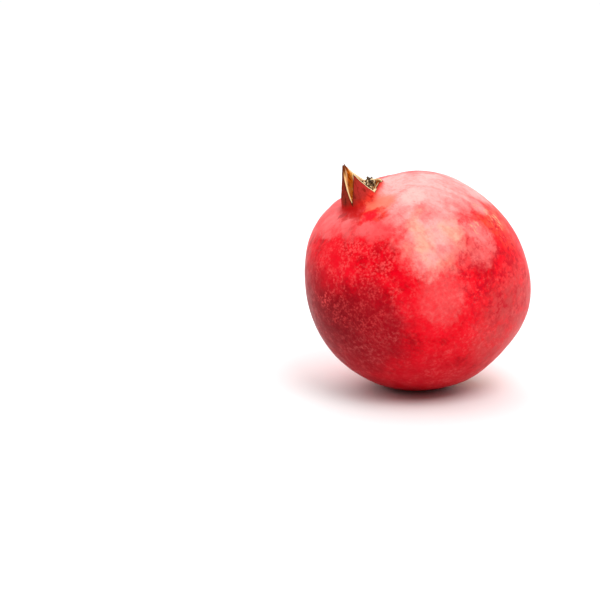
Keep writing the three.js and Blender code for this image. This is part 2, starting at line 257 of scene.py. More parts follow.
def neckGrid(around, relief):
    # cubic Bezier from the body's last row, leaving along the skin, to the sloping neck:
    # (1-u)^3 a + 3u(1-u)^2 b + 3u^2(1-u) c + u^3 d
    f = fruit
    start, small, slope = math.radians(f["neckStart"]), 0.001, math.radians(f["neckSlope"])

    def profile(down, relief):
        radius = skinRadius(down + 0 * around, around, relief)
        return np.stack([radius * math.sin(down), radius * math.cos(down)], -1)

    a = profile(start, relief)
    b = a + f["neckReach"] * unitRows(profile(start - small, False) - profile(start, False))
    d = np.array([f["neckRadius"], f["neckLevel"]])
    c = d + f["neckPull"] * np.array([math.sin(slope), -math.cos(slope)])
    u = (np.arange(1, f["neckRows"] + 1) / f["neckRows"])[:, None, None]
    curve = (1 - u) ** 3 * a + 3 * u * (1 - u) ** 2 * b + 3 * u * u * (1 - u) * c + u ** 3 * d
    return ringPoints(curve[..., 0], around, curve[..., 1])


def sepalWall(columns, share):
    # edge + (wall - edge)(1 - exp(-depth below the edge / fade))
    f = fruit
    below = (1 - share) * columns["top"]
    return f["edge"] + (f["wall"] - f["edge"]) * (1 - np.exp(-below / f["wallFade"]))


def wrinkles(columns, share, seed):
    # lengthwise wrinkles of a drying sepal: noise stretched along its height, flatter to the tip
    f = fruit
    height = share * columns["top"]
    broad, fine = f["wrinkleWidths"]
    place = np.stack([columns["around"] * f["wrinkleRadius"] + 0 * height, 0 * height,
                      height * f["wrinkleSqueeze"]], -1)
    fold = latticeNoise(place, broad, seed) + 0.6 * latticeNoise(place, fine, seed + 1)
    fold = fold * np.clip(height / f["wrinkleStart"], 0, 1)
    return f["wrinkle"] * fold * (1 - f["tipFlat"] * share)


def crownGrid(columns, relief):
    # outer faces up to the edge, half a circle over the edge, then inner faces down to the neck
    f = fruit
    rows, neck, top = f["sepalRows"], f["neckRadius"], columns["top"]
    up, down = (np.arange(1, rows + 1) / rows)[:, None], (np.arange(rows, -1, -1) / rows)[:, None]
    over = (np.pi * np.arange(1, f["rimRows"] + 1) / (f["rimRows"] + 1))[:, None] + 0 * top
    outer, inner = 0 * up * top, 0
    if relief:
        outer, inner = wrinkles(columns, up, 31), 0.6 * wrinkles(columns, down, 33)
    distance = np.concatenate([neck + outer, neck - f["edge"] / 2 * (1 - np.cos(over)),
                               neck - sepalWall(columns, down) + inner])
    height = np.concatenate([up * top, top + f["rimRise"] * np.sin(over), down * top])
    return bendSepals(columns, distance, height)


def cupGrid(columns):
    # the cup's wall from its mouth to its foot, a quarter circle, then the floor to the middle
    f = fruit
    around, corner, slope = columns["around"], f["cupCorner"], math.radians(f["neckSlope"])
    thick = sepalWall(columns, 0)
    mouth = f["neckRadius"] - thick * math.cos(slope)
    mouthLevel = f["neckLevel"] - thick * math.sin(slope)
    share = np.arange(1, f["cupRows"] + 1)[:, None] / f["cupRows"]
    foot, flat = f["cupFloor"] + corner, f["cupRadius"] - corner
    wall = ringPoints(mouth + (f["cupRadius"] - mouth) * share, around,
                      mouthLevel + (foot - mouthLevel) * share)
    turn = np.radians([22.5, 45, 67.5, 90])[:, None]
    bend = ringPoints(flat + corner * np.cos(turn), around, foot - corner * np.sin(turn))
    floor = ringPoints(flat * np.array([0.66, 0.33, 0.08])[:, None], around, f["cupFloor"])
    return np.concatenate([wall, bend, floor])


def fruitGrid(relief):
    # the whole skin of the upright fruit, from its stem end to the middle of the cup
    columns = sepalColumns()
    grids = [bodyGrid(columns["around"], relief), neckGrid(columns["around"], relief),
             crownGrid(columns, relief), cupGrid(columns)]
    return columns, np.concatenate(grids), [len(g) for g in grids]


layTurn = (turnZ(math.radians(fruit["heading"])) @ turnY(math.radians(fruit["tipOver"]))
           @ turnZ(math.radians(fruit["spin"])))


def findLayShift():
    # the move by which the laid-over fruit's plain skin fills the CAD fruit's box
    plain = fruitGrid(False)[1].reshape(-1, 3) @ layTurn.T
    low, high = (np.array(corner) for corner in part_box("fruit"))
    shift = (low + high) / 2 - (plain.min(0) + plain.max(0)) / 2
    shift[2] = high[2] - plain[:, 2].max()
    return shift


layShift = findLayShift()
print("fruit centre at", np.round(layShift, 5))


def layOver(points):
    # upright points, moved to where the fruit lies
    return points @ layTurn.T + layShift


def skinAttributes(columns, counts):
    # for the skin's material: crown, 0 on the body, rising over the neck to 1; inner, 0 outside,
    # rising over the edge to 1; and in millimetres edgeDepth, below a sepal's edge, and climb,
    # above the neck's level
    f = fruit
    body, neck, crown, cup = counts
    rows, rim = f["sepalRows"], f["rimRows"]
    halfSepal, farDepth, cupDepth, low, foot = 5.5, 20, 6, -60, -4
    share = np.concatenate([np.arange(1, rows + 1), np.full(rim, rows), np.arange(rows, -1, -1)])
    share = share[:, None] / rows
    depth = (1 - share) * columns["top"] * 1000
    halfWidth = halfSepal * (1 - np.abs(columns["across"]))
    depth = np.minimum(depth, 0.75 * halfWidth + 0.55 * depth)

    def perVertex(first, last, *stretches):
        wide = [np.reshape(rows, (len(rows), -1)) + 0 * columns["top"] for rows in stretches]
        return np.concatenate([np.concatenate(wide).reshape(-1), [first, last]])

    return {
        "crown": perVertex(0, 1, np.zeros(body), np.linspace(0, 0.5, neck), np.ones(crown + cup)),
        "inner": perVertex(0, 1, np.zeros(body + neck + rows), np.linspace(0, 1, rim + 2)[1:-1],
                           np.ones(rows + 1 + cup)),
        "edgeDepth": perVertex(farDepth, cupDepth, np.full(body + neck, farDepth), depth,
                               np.full(cup, cupDepth)),
        "climb": perVertex(low, foot, np.linspace(low, foot, body), np.linspace(foot, 0, neck),
                           share * columns["top"] * 1000, np.linspace(0, foot, cup)),
    }


def makeFruit(material):
    f = fruit
    columns, grid, counts = fruitGrid(True)
    southDepth = skinRadius(np.array([np.pi]), np.array([0.0]), True)[0]
    vertices, quads, triangles = closedGrid(grid, (0, 0, -southDepth), (0, 0, f["cupFloor"]))
    # below the floor the skin is pressed flat: z becomes (z + sqrt(z^2 + soft^2)) / 2
    placed = layOver(vertices)
    placed[:, 2] = (placed[:, 2] + np.sqrt(placed[:, 2] ** 2 + f["flatSoftness"] ** 2)) / 2
    placed[:, 2] -= placed[:, 2].min()
    piece = makePiece("fruitSkin", placed, quads, triangles, material,
                      {"upright": vertices, **skinAttributes(columns, counts)})
    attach(piece, "root")
    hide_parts("fruit")


# the stamens: a pad on the cup's floor, a style and a tuft of dried filaments with anthers
stamens = {
    # spread and height of the tuft, in metres and degrees
    "count": 64, "rootSpread": 0.005, "tuftSpread": 0.0045, "tuftShift": 0.0029,
    "openSide": 80, "tuftTop": 0.0486, "topScatter": 0.001, "tuftTwist": 0.25,
    "goldenTurn": 137.508, "seed": 7,
    # filaments
    "filamentRadius": 0.00021, "filamentStations": 12, "filamentSides": 6,
    "bulge": 0.0006, "wave": 0.00028, "waves": 9, "padGap": 0.0003, "rootDepth": 0.0005,
    # anthers, bean-shaped and creased
    "antherRadius": 0.00056, "antherLength": 0.0021, "antherRows": 9, "antherSides": 10,
    "antherCrease": 0.24, "antherDroop": 0.42, "antherSag": -0.12, "antherCurl": 0.0005,
    # style and pad
    "styleRadius": 0.0007, "styleRise": 0.0013, "styleRows": 24, "styleSides": 14,
    "styleBow": 0.0004, "styleTaper": 0.3, "knob": 0.9, "knobPlace": 0.93, "knobWidth": 0.05,
    "padRadius": 0.0061, "padHeight": 0.0014, "padRows": 12, "padSides": 64, "padBump": 0.00012,
    "padFibres": 12,
}


def tubePoints(paths, radii, sides, squash):
    # circles of radius r(1 + squash cos 2 turn) set square to each path:
    # path + r cos(turn) across + r sin(turn) over, for paths (count, stations, 3)
    along = unitRows(np.gradient(paths, axis=1))
    across = unitRows(np.cross(along, [0, 1, 0]))
    over = np.cross(along, across)
    turn = 2 * np.pi * np.arange(sides) / sides
    size = radii[..., None] * (1 + squash * np.cos(2 * turn))
    return (paths[:, :, None] + (size * np.cos(turn))[..., None] * across[:, :, None]
            + (size * np.sin(turn))[..., None] * over[:, :, None])


def closedTubes(paths, radii, sides, squash=0.0):
    # every path as a closed tube with a point at each end, joined
    points = tubePoints(paths, radii, sides, squash)
    count = len(points)
    vertices = np.concatenate([points.reshape(count, -1, 3), paths[:, :1], paths[:, -1:]], 1)
    quads, triangles = closedGrid(points[0], paths[0, 0], paths[0, -1])[1:]
    offset = (np.arange(count) * vertices.shape[1])[:, None, None]
    return (vertices.reshape(-1, 3), (quads[None] + offset).reshape(-1, 4),
            (triangles[None] + offset).reshape(-1, 3))


def joinParts(parts):
    # several (vertices, quads, triangles) as one
    totals = np.cumsum([0] + [len(part[0]) for part in parts])
    return (np.concatenate([part[0] for part in parts]),
            np.concatenate([part[1] + total for part, total in zip(parts, totals)]),
            np.concatenate([part[2] + total for part, total in zip(parts, totals)]))


def stamenEnds():
    # roots on a golden-angle spiral, out = spread sqrt(share); tips on a tighter one, shifted
    # to the open side and evenly scattered in turn and height
    s = stamens
    index = np.arange(s["count"])
    around = np.radians(index * s["goldenTurn"])
    share = np.sqrt((index + 0.5) / s["count"])
    steps = np.array([0.7548776662, 0.5698402910, 0.3802775690])  # of an even scatter
    scatter = 2 * ((s["seed"] * 0.137 + (index + 1) * steps[:, None]) % 1) - 1
    rootHeight = fruit["cupFloor"] + s["padGap"] + s["rootDepth"]
    root = ringPoints(s["rootSpread"] * share, around, rootHeight)
    tip = ringPoints(s["tuftSpread"] * share, around + s["tuftTwist"] * scatter[0],
                     s["tuftTop"] + s["topScatter"] * scatter[1])
    tip = tip + ringPoints(s["tuftShift"], math.radians(s["openSide"]), 0.0)
    return root, tip, around + 2 * scatter[2]


def makeFilaments(rng):
    # root + (tip - root) t, bowed by 4t(1 - t) and waving a little, thinner to the tip
    s = stamens
    count = s["count"]
    root, tip, bowTurn = stamenEnds()
    t = np.linspace(0, 1, s["filamentStations"])[None, :, None]
    bow = ringPoints(s["bulge"], bowTurn, 0.0)[:, None]
    phase = rng.uniform(0, 2 * np.pi, (count, 1, 1))
    sway = ringPoints(s["wave"], rng.uniform(0, 2 * np.pi, count), 0.0)[:, None]
    paths = (root[:, None] + (tip - root)[:, None] * t + bow * 4 * t * (1 - t)
             + sway * np.sin(phase + s["waves"] * t) * t)
    thin = s["filamentRadius"] * (1.25 - 0.5 * t[..., 0]) * rng.uniform(0.8, 1.25, (count, 1))
    return paths, closedTubes(paths, thin, s["filamentSides"])


def makeAnthers(rng, paths):
    # ellipsoids r sin(pi u)^0.7 along a curved path from each filament's end, creased
    s = stamens
    count = s["count"]
    u = np.linspace(0.02, 0.98, s["antherRows"])[None, :, None]
    droop = rng.normal(0, s["antherDroop"], (count, 3)) + [0, 0, s["antherSag"]]
    aim = unitRows(unitRows(paths[:, -1] - paths[:, -2]) + droop)
    length = s["antherLength"] * rng.uniform(0.75, 1.1, (count, 1, 1))
    curl = np.cross(aim, rng.normal(0, 1, (count, 3)))[:, None] * s["antherCurl"]
    start = paths[:, -1:] - 0.25 * length * aim[:, None]
    curved = start + length * aim[:, None] * u + curl * 4 * u * (1 - u)
    fat = s["antherRadius"] * np.sin(np.pi * u[..., 0]) ** 0.7 * rng.uniform(0.75, 1.1, (count, 1))
    return closedTubes(curved, fat, s["antherSides"], s["antherCrease"])


def makeStyle():
    # a stouter stalk, slightly bowed, with a bell-shaped knob near its top
    s = stamens
    climb = np.linspace(0, 1, s["styleRows"])
    heights = np.linspace(fruit["cupFloor"] + s["padGap"] + s["rootDepth"],
                          s["tuftTop"] + s["styleRise"], s["styleRows"])
    lean = s["styleBow"] * np.sin(2.2 * climb)
    knob = 1 - s["styleTaper"] * climb + s["knob"] * bell(climb - s["knobPlace"], s["knobWidth"])
    knob = knob * np.sqrt(np.clip((1.01 - climb) / 0.06, 0, 1))  # rounded at its very end
    path = np.stack([lean, -lean, heights], -1)[None]
    return closedTubes(path, (s["styleRadius"] * knob)[None], s["styleSides"])


def makePad():
    # a low cushion, out = R cos(a)^0.5 and up = h sin(a), fibrous on top
    s = stamens
    base = fruit["cupFloor"] + s["padGap"]
    turn = 2 * np.pi * np.arange(s["padSides"]) / s["padSides"]
    rise = np.linspace(0, 1, s["padRows"])[:, None]
    out = s["padRadius"] * np.cos(rise * np.pi / 2 * 0.97) ** 0.5
    place = ringPoints(s["padFibres"], turn, 4 * rise)
    place[..., 0] *= 1 + rise
    bump = s["padBump"] * latticeNoise(place, 1.0, 41)
    points = ringPoints(out, turn, base + s["padHeight"] * np.sin(rise * np.pi / 2) + bump * rise)
    return closedGrid(points, (0, 0, base), (0, 0, base + s["padHeight"]))


def makeStamens(material):
    s = stamens
    rng = np.random.default_rng(s["seed"])
    paths, filaments = makeFilaments(rng)
    parts = [filaments, makeAnthers(rng, paths), makeStyle(), makePad()]
    vertices, quads, triangles = joinParts(parts)
    sizes = [len(part[0]) for part in parts]
    tone = rng.uniform(0, 1, s["count"])
    attributes = {
        "upright": vertices,
        # part: 0 filament, 1 anther, 0.5 style and pad; shade: a random value for each stamen
        "part": np.repeat([0.0, 1.0, 0.5, 0.5], sizes),
        "shade": np.concatenate([np.repeat(tone, size // s["count"]) for size in sizes[:2]]
                                + [np.full(sum(sizes[2:]), 0.5)]),
        # rise: from 0 at the cup's floor to 1 at 11 mm above it
        "rise": np.clip((vertices[:, 2] - fruit["cupFloor"]) / 0.011, 0, 1),
    }
    piece = makePiece("stamenTuft", layOver(vertices), quads, triangles, material, attributes)
    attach(piece, "root")
    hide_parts("stamens")


# the stem: a woody stub in the dimple at the other end
stem = {
    "gap": 0.0005, "length": 0.005, "radius": 0.0024, "sides": 72, "rows": 44,
    # waist: radius at the base, and its growth with share and share^6; three lobes
    "waist": (0.8, 0.05, 0.22), "lobe": 0.05,
    # rounding of the base and of the cut end: depth, width
    "baseRound": (0.3, 0.06), "cutRound": (0.2, 0.02),
    # depth of the bark, and its furrows round the stub and their squeeze along it
    "bark": 0.00016, "furrows": 8, "barkSqueeze": 1.2,
    "endRows": 12, "endDip": 0.00035, "endRough": 0.00006,
}


def makeStem(material):
    s = stem
    start = -skinRadius(np.array([np.pi]), np.array([0.0]), False)[0] - s["gap"]
    end = start - s["length"]
    turn = 2 * np.pi * np.arange(s["sides"]) / s["sides"]
    share = np.linspace(1, 0, s["rows"])[:, None]
    # waisted stub: R (a + b share + c share^6) sqrt(1 - rounding), three-lobed, rough bark
    base, even, flare = s["waist"]
    (baseDepth, baseWidth), (cutDepth, cutWidth) = s["baseRound"], s["cutRound"]
    rounding = baseDepth * bell(share, baseWidth) + cutDepth * bell(1 - share, cutWidth)
    waist = (base + even * share + flare * share ** 6) * np.sqrt(1 - rounding)
    radius = s["radius"] * waist * (1 + s["lobe"] * np.cos(3 * turn + 1))
    place = ringPoints(s["furrows"], turn, s["barkSqueeze"] * share)
    bark = latticeNoise(place, 0.55, 51) + 0.7 * latticeNoise(place * [1, 1, 6], 0.9, 52)
    radius = radius + s["bark"] * bark * np.clip(share * 8, 0, 1)
    # cut end: rings running out from the middle, a little dished and rough
    inward = np.linspace(0.06, 0.94, s["endRows"])[:, None]
    rough = latticeNoise(ringPoints(9 * inward, turn, 0), 1, 53)
    dish = s["endDip"] * (1 - inward ** 4) + s["endRough"] * rough
    grid = np.concatenate([ringPoints(radius[0] * inward, turn, end + dish),
                           ringPoints(radius, turn, start - s["length"] * share),
                           ringPoints(radius[-1] * [[0.66], [0.33]], turn, start)])
    vertices, quads, triangles = closedGrid(grid, (0, 0, end + s["endDip"]), (0, 0, start))
    counts = [s["endRows"] * s["sides"], (s["rows"] + 2) * s["sides"], 1, 1]
    piece = makePiece("stemStub", layOver(vertices), quads, triangles, material,
                      {"upright": vertices, "cut": np.repeat([1.0, 0.0, 1.0, 0.0], counts)})
    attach(piece, "root")
    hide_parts("stem")


def newMaterial(name):
    # a material holding only a Principled shader and its output
    material = bpy.data.materials.new(name)
    material.use_nodes = True
    return material, material.node_tree.nodes["Principled BSDF"]


def put(kind, inputs, **settings):
    # a node with its settings; each input is a plain value or a socket to link from, and the
    # sockets say which tree the node is in
    sockets = [value for value in inputs.values() if isinstance(value, bpy.types.NodeSocket)]
    tree = sockets[0].id_data
    node = tree.nodes.new("ShaderNode" + kind)
    for name, value in settings.items():
        setattr(node, name, value)
    for name, value in inputs.items():
        if value in sockets:
            tree.links.new(value, node.inputs[name])
        else:
            node.inputs[name].default_value = value
    return node


def read(shader, name, output="Fac"):
    # an attribute of the piece
    node = shader.id_data.nodes.new("ShaderNodeAttribute")
    node.attribute_name = name
    return node.outputs[output]


def vectorMath(operation, a, b=(0, 0, 0), c=(0, 0, 0)):
    return put("VectorMath", {0: a, 1: b, 2: c}, operation=operation).outputs[0]


def stretch(vector, along, shift=(0, 0, 0)):
    # squeezed along z and shifted
    return put("Mapping", {"Vector": vector, "Scale": (1, 1, along), "Location": shift}).outputs[0]


def noise(vector, scale, detail=2, roughness=0.5, distortion=0, along=1, shift=(0, 0, 0),
          output="Fac"):
    # noise, squeezed along z and shifted where asked for
    if along != 1 or any(shift):
        vector = stretch(vector, along, shift)
    inputs = {"Vector": vector, "Scale": scale, "Detail": detail, "Roughness": roughness,
              "Distortion": distortion}
    return put("TexNoise", inputs).outputs[output]


def span(value, low, high, toLow=0.0, toHigh=1.0):
    # smooth step from toLow to toHigh as value goes from low to high
    inputs = {"Value": value, "From Min": low, "From Max": high, "To Min": toLow, "To Max": toHigh}
    return put("MapRange", inputs, interpolation_type="SMOOTHSTEP").outputs[0]


def calc(operation, a, b=0.0, c=0.0):
    return put("Math", {0: a, 1: b, 2: c}, operation=operation).outputs[0]


def times(first, *others):
    # the product of all values
    for value in others:
        first = calc("MULTIPLY", first, value)
    return first


def most(first, *others):
    # the largest of all values
    for value in others:
        first = calc("MAXIMUM", first, value)
    return first


def timesPlus(value, factor, added):
    # value x factor + added
    return calc("MULTIPLY_ADD", value, factor, added)


def without(value, share=1.0):
    # 1 - share x value
    return timesPlus(value, -share, 1.0)


def blend(share, a, b):
    # from colour a to colour b by share; a colour is a socket or three numbers
    a, b = ((*colour, 1) if isinstance(colour, tuple) else colour for colour in (a, b))
    return put("Mix", {0: share, 6: a, 7: b}, data_type="RGBA").outputs[2]


def ramp(value, stops):
    # colour ramp through (place, colour) stops
    node = put("ValToRGB", {"Fac": value})
    points = node.color_ramp.elements
    while len(points) < len(stops):
        points.new(0.5)
    for point, (place, colour) in zip(points, stops):
        point.position = place
        point.color = (*colour, 1)
    return node.outputs[0]


def facing(unit, toward, *levels):
    # smooth step of the cosine between a unit direction and the given one
    dot = put("VectorMath", {0: unit, 1: toward}, operation="DOT_PRODUCT").outputs["Value"]
    return span(dot, *levels)


def dress(shader, colour, height, strength, distance):
    # the colour, and fine relief by height, linked to the shader
    bump = put("Bump", {"Height": height, "Strength": strength, "Distance": distance})
    shader.id_data.links.new(colour, shader.inputs["Base Color"])
    shader.id_data.links.new(bump.outputs[0], shader.inputs["Normal"])


skin = {
    # body colours
    "crimson": (0.54, 0, 0.006), "red": (0.84, 0, 0.01), "bright": (0.92, 0.005, 0.018),
    # blushAndSheen, paleAndHighlight: real pale skin, on the front and top also painted highlight
    # and sheen
    "blushAndSheen": (0.86, 0.36, 0.34), "blushWarm": (0.87, 0.4, 0.29), "paleAndHighlight": (0.9, 0.49, 0.45),
    # salmonAndSheen: pink that is partly real and partly a painted sheen on the upper left shoulder
    "salmonAndSheen": (0.86, 0.145, 0.145), "rose": (0.9, 0.05, 0.05), "orange": (0.9, 0.11, 0.03),
    # castShade and underShade are painted shade: darker red on the lower left and underneath
    "castShade": (0.2, 0, 0.005), "underShade": (0.4, 0, 0.008), "stemEnd": (0.8, 0.26, 0.09),
    # dimFloorSheen: a painted dull reflection of the floor, with painted shade, low on the right
    "dimFloorSheen": (0.57, 0.062, 0.062), "worn": (0.58, 0.03, 0.035), "freckle": (0.94, 0.085, 0.085),
    "speck": (0.56, 0.002, 0.014), "scar": (0.93, 0.55, 0.27),
    # crown colours
    "neckRed": (0.84, 0.04, 0.024), "neckDeep": (0.56, 0.006, 0.006),
    # neckFootShade: painted shade at the foot of the neck on the left
    "neckFootShade": (0.34, 0.01, 0.01),
    "halo": (0.92, 0.17, 0.1), "glow": (0.92, 0.17, 0.1), "sepalRed": (0.48, 0.03, 0.024),
    # sepalDark, fibreDark and neckDeep, where laid on the shade side, are painted shade
    "sepalDark": (0.28, 0.024, 0.012), "fibreRed": (0.3, 0.016, 0.01),
    "fibreDark": (0.12, 0.008, 0.004), "sepalTip": (0.16, 0.03, 0.006),
    "edgeLine": (0.09, 0.014, 0.003), "cream": (0.96, 0.74, 0.42), "innerGold": (0.95, 0.46, 0.1),
    "innerTan": (0.9, 0.25, 0.012), "innerDark": (0.46, 0.08, 0.006),
    # gloss and relief
    "roughness": 0.36, "ior": 1.42, "shine": 0.05, "relief": (0.35, 0.00025),
    "poreHeight": 0.35, "fibreHeight": 2.2,
    # shares of streaks and clouds in the blush, of its rose, of its flecks on red skin, of wear,
    # freckles and specks, and of those two outside their patches
    "streaky": 0.36, "cloudy": 0.64, "rosy": 2.2, "fleckShare": 0.13, "wearShare": 0.26,
    "freckleShare": 0.68, "speckShare": 0.75, "strayFreckles": 0.15, "straySpecks": 0.12,
    # how much thinner flecks and freckles lie in certain patches, and specks in the blush and
    # painted sheen; how steeply small dots, grit and flecks fall off, and the scale of the dots
    "fewerFlecks": 0.8, "fewerFreckles": 0.7, "fewerSpecks": 0.8,
    "dotFall": 1.6, "gritFall": 2, "fleckFall": 2, "dotScale": 820,
    # strength of the red skin round the neck: its change on the crown's plain side, and what it
    # is elsewhere; and in millimetres how much higher it starts on the plain side, below 0
    "plainFade": (-0.5, 0.6), "plainDrop": -2,
    # in millimetres: how ragged the foot of the sepals' colour is, and what is added to the depth
    # below a sepal's edge on the light side, whose dark line is wider, and on the plain side,
    # whose line is narrower
    "raggedFoot": 5, "lightEdge": -0.4, "plainEdge": 0.6,
    # streaks round the axis: scale, detail, roughness
    "streaks": (14, 3, 0.6),
    # noise that shakes the patches: scale, detail, roughness, and its two reaches in metres
    "shake": (85, 7, 0.70), "far": 0.024, "near": 0.012,
    # noises: scale, detail, roughness, distortion, squeeze along the axis and shift; then the
    # levels of a smooth step, if any
    "noises": {
        "mottle": ((70, 8, 0.72, 0.3),), "clouds": ((110, 6, 0.64),), "ragged": ((210, 3, 0.6),),
        "fine": ((420, 4, 0.65, 0, 0.7), 0.34, 0.52, 0.78, 1.0),
        "broken": ((190, 6, 0.7), 0.36, 0.56, 0.5, 1.1),
        "breakUp": ((190, 6, 0.7), 0.3, 0.7, -0.7, 0.7),
        "uneven": ((110, 6, 0.64), 0.38, 0.58, 0.25, 1.0), "gaps": ((330, 4, 0.68), 0.4, 0.56),
        "flecks": ((560, 5, 0.72), 0.36, 0.7), "fleckDrift": ((75, 3), 0.4, 0.6, 0.3, 1.0),
        "warmth": ((90, 4), 0.4, 0.6), "wear": ((640, 4, 0.7, 0, 1, (0, 4, 1)), 0.5, 0.74),
        "drift": ((150, 4, 0.65), 0.42, 0.58), "grit": ((800, 2, 0.6), 0.4, 0.66),
        "specks": ((380, 5, 0.74), 0.46, 0.58),
        "cluster": ((140, 2, 0.5, 0, 1, (3, 1, 2)), 0.36, 0.54),
        "marks": ((760, 4, 0.62, 0.5, 0.45), 0.5, 0.64),
        "tatters": ((260, 4, 0.68, 0, 1, (2, 0, 0)), 0.34, 0.54, 0.35, 1.0),
        "blotch": ((420, 4, 0.65, 0, 0.6, (0, 0, 5)), 0.46, 0.58, 0, 0.7),
        "grain": ((620, 4, 0.6, 0, 0.16),), "fibres": ((620, 4, 0.6, 0, 0.16), 0.35, 0.52),
        "gilt": ((760, 3, 0.55, 0, 0.12),), "rubbed": ((260, 3), 0.3, 0.7, -0.05, 0.07),
        "pores": ((1400, 3, 0.6),), "dimples": ((330, 2, 0.5),),
    },
    # levels of other smooth steps; cosines, and millimetres above the neck or below an edge
    "levels": {
        "patchy": (0.4, 0.58, 0.72, 1.08), "dots": (0.72, 0.12), "skirt": (0.972, 0.984),
        "neck": (-2.5, 0.5), "tipward": (7.0, 15.0, 0, 0.75), "sepalStart": (2.8, 7.0),
        "edgeLine": (1.1, 0.7), "paleEdge": (0.7, 0.45), "creamEdge": (1.9, 0.5),
        "creamFade": (17.0, 12.0, 0, 0.8), "brownTip": (13.0, 17.0), "inside": (0.1, 0.22),
        "dull": (-3.0, 2.0, 0, 0.4),
    },
    # sides of the upright crown: direction, and the cosines of the step
    # shadeSide faces away from the lamps; the colours laid there are painted shade
    "sides": {"shadeSide": ((0.09, -0.996, 0.0), 0.15, 0.85),
              "light": ((0.966, 0.259, 0.0), 0.92, 0.97),
              "plain": ((0.174, 0.985, 0.0), 0.2, 0.7)},
    # patches: the reach of the shake, the noise that breaks them up, and for each its direction
    # from the fruit's centre (+X right, -Y near, +Z up), the cosines where it starts and is
    # full, and its strength
    "patches": {
        # painted shade: the lower left and the underside drawn darker
        "castShade": ("far", "", [
            ((-0.85, -0.35, -0.4), 0.7, 0.98, 0.95), ((-0.5, -0.82, -0.28), 0.86, 0.97, 0.75)]),
        "underShade": ("far", "", [((0.0, -0.2, -0.98), 0.4, 0.95, 0.7)]),
        # partly real salmon pink, partly a painted sheen along the upper left shoulder and over the
        # top
        "salmonAndSheen": ("near", "broken", [
            ((-0.74, -0.27, 0.62), 0.973, 0.985, 0.66),
            ((-0.55, -0.519, 0.654), 0.972, 0.986, 0.62),
            ((-0.4, -0.624, 0.671), 0.972, 0.987, 0.54), ((-0.8, -0.02, 0.6), 0.95, 0.985, 0.5),
            ((-0.7, 0.22, 0.68), 0.94, 0.985, 0.4), ((-0.42, 0.3, 0.86), 0.93, 0.985, 0.35)]),
        # painted reflection of the floor and painted shade on the lower right
        "dimFloorSheen": ("far", "broken", [((0.848, -0.477, -0.23), 0.8, 0.98, 0.75)]),
        "orange": ("far", "uneven", [((0.652, -0.333, 0.681), 0.92, 0.985, 0.45)]),
        # the pale middle: real pale skin with a painted highlight
        "middle": ("far", "", [((0.112, -0.827, 0.551), 0.924, 0.99, 0.97)]),
        # on the front and top partly a painted highlight and sheen, elsewhere blush only
        "blushAndSheen": ("far", "", [
            ((-0.045, -0.386, 0.921), 0.86, 0.97, 1.0), ((0.19, -0.35, 0.917), 0.915, 0.99, 0.93),
            ((0.425, -0.75, 0.506), 0.95, 0.995, 0.38), ((0.152, -0.985, 0.08), 0.955, 0.995, 0.14),
            ((0.45, 0.02, 0.89), 0.94, 0.985, 0.85), ((0.3, 0.62, 0.72), 0.8, 0.99, 0.5),
            ((-0.55, 0.8, 0.1), 0.86, 1.0, 0.3), ((0.86, 0.28, -0.42), 0.84, 1.0, 0.34)]),
        "thinner": ("near", "", [
            ((0.312, -0.89, 0.332), 0.98, 0.997, 0.5), ((-0.205, -0.828, 0.522), 0.985, 0.998, 0.3),
            ((0.04, -0.662, 0.748), 0.99, 0.998, 0.32)]),
        # painted highlight and sheen along the top, beside the crown
        "topHighlight": ("near", "fine", [
            ((-0.315, -0.05, 0.948), 0.98, 0.996, 0.95),
            ((-0.11, -0.49, 0.865), 0.976, 0.996, 0.95),
            ((0.515, -0.38, 0.768), 0.988, 0.998, 0.5)]),
        # the palest places: partly real pale skin, partly a painted highlight
        "paleAndHighlight": ("near", "fine", [
            ((-0.08, -0.495, 0.865), 0.988, 0.998, 0.7),
            ((0.13, -0.822, 0.552), 0.992, 0.999, 0.55)]),
        "stemEnd": ("far", "", [((0.519, 0.165, -0.839), 0.93, 0.99, 0.6)]),
        "dash": ("near", "gaps", [
            ((-0.012, -0.674, 0.738), 0.9989, 0.9999, 0.8),
            ((0.042, -0.664, 0.746), 0.9991, 0.9999, 0.75)]),
        "freckle": ("far", "", [
            ((-0.6, -0.78, 0.18), 0.8, 0.96, 1.0), ((-0.3, 0.94, -0.15), 0.4, 0.9, 0.55)]),
        "speck": ("far", "", [
            ((0.7, -0.64, 0.3), 0.72, 0.94, 1.0), ((0.35, 0.92, -0.15), 0.42, 0.92, 0.5)]),
        "scar": ("near", "marks", [
            ((0.68, -0.36, 0.64), 0.988, 0.999, 0.75), ((0.509, -0.399, 0.762), 0.996, 0.999, 0.5),
            ((0.437, -0.642, 0.629), 0.996, 0.999, 0.4)]),
        "halo": ("near", "", [((-0.366, -0.456, 0.811), 0.985, 0.998, 0.85)]),
        "skirt": ("near", "tatters", [
            ((-0.491, -0.528, 0.693), 0.992, 0.9965, 0.95),
            ((-0.402, -0.565, 0.72), 0.994, 0.9975, 0.9)]),
        "glow": ("near", "", [((-0.455, -0.453, 0.766), 0.996, 0.999, 0.65)]),
        "bright": ("near", "gaps", [
            ((-0.491, -0.546, 0.679), 0.995, 0.998, 0.85),
            ((-0.437, -0.562, 0.702), 0.9955, 0.9985, 0.85)]),
        "neckDeep": ("near", "tatters", [
            ((-0.643, -0.368, 0.672), 0.995, 0.9985, 0.9),
            ((-0.589, -0.417, 0.692), 0.9965, 0.999, 0.6),
            ((-0.598, -0.438, 0.671), 0.9962, 0.9988, 0.75)]),
        # painted shade at the foot of the neck, on the left
        "neckFootShade": ("near", "", [((-0.708, -0.27, 0.652), 0.9985, 0.9995, 0.65)]),
    },
}


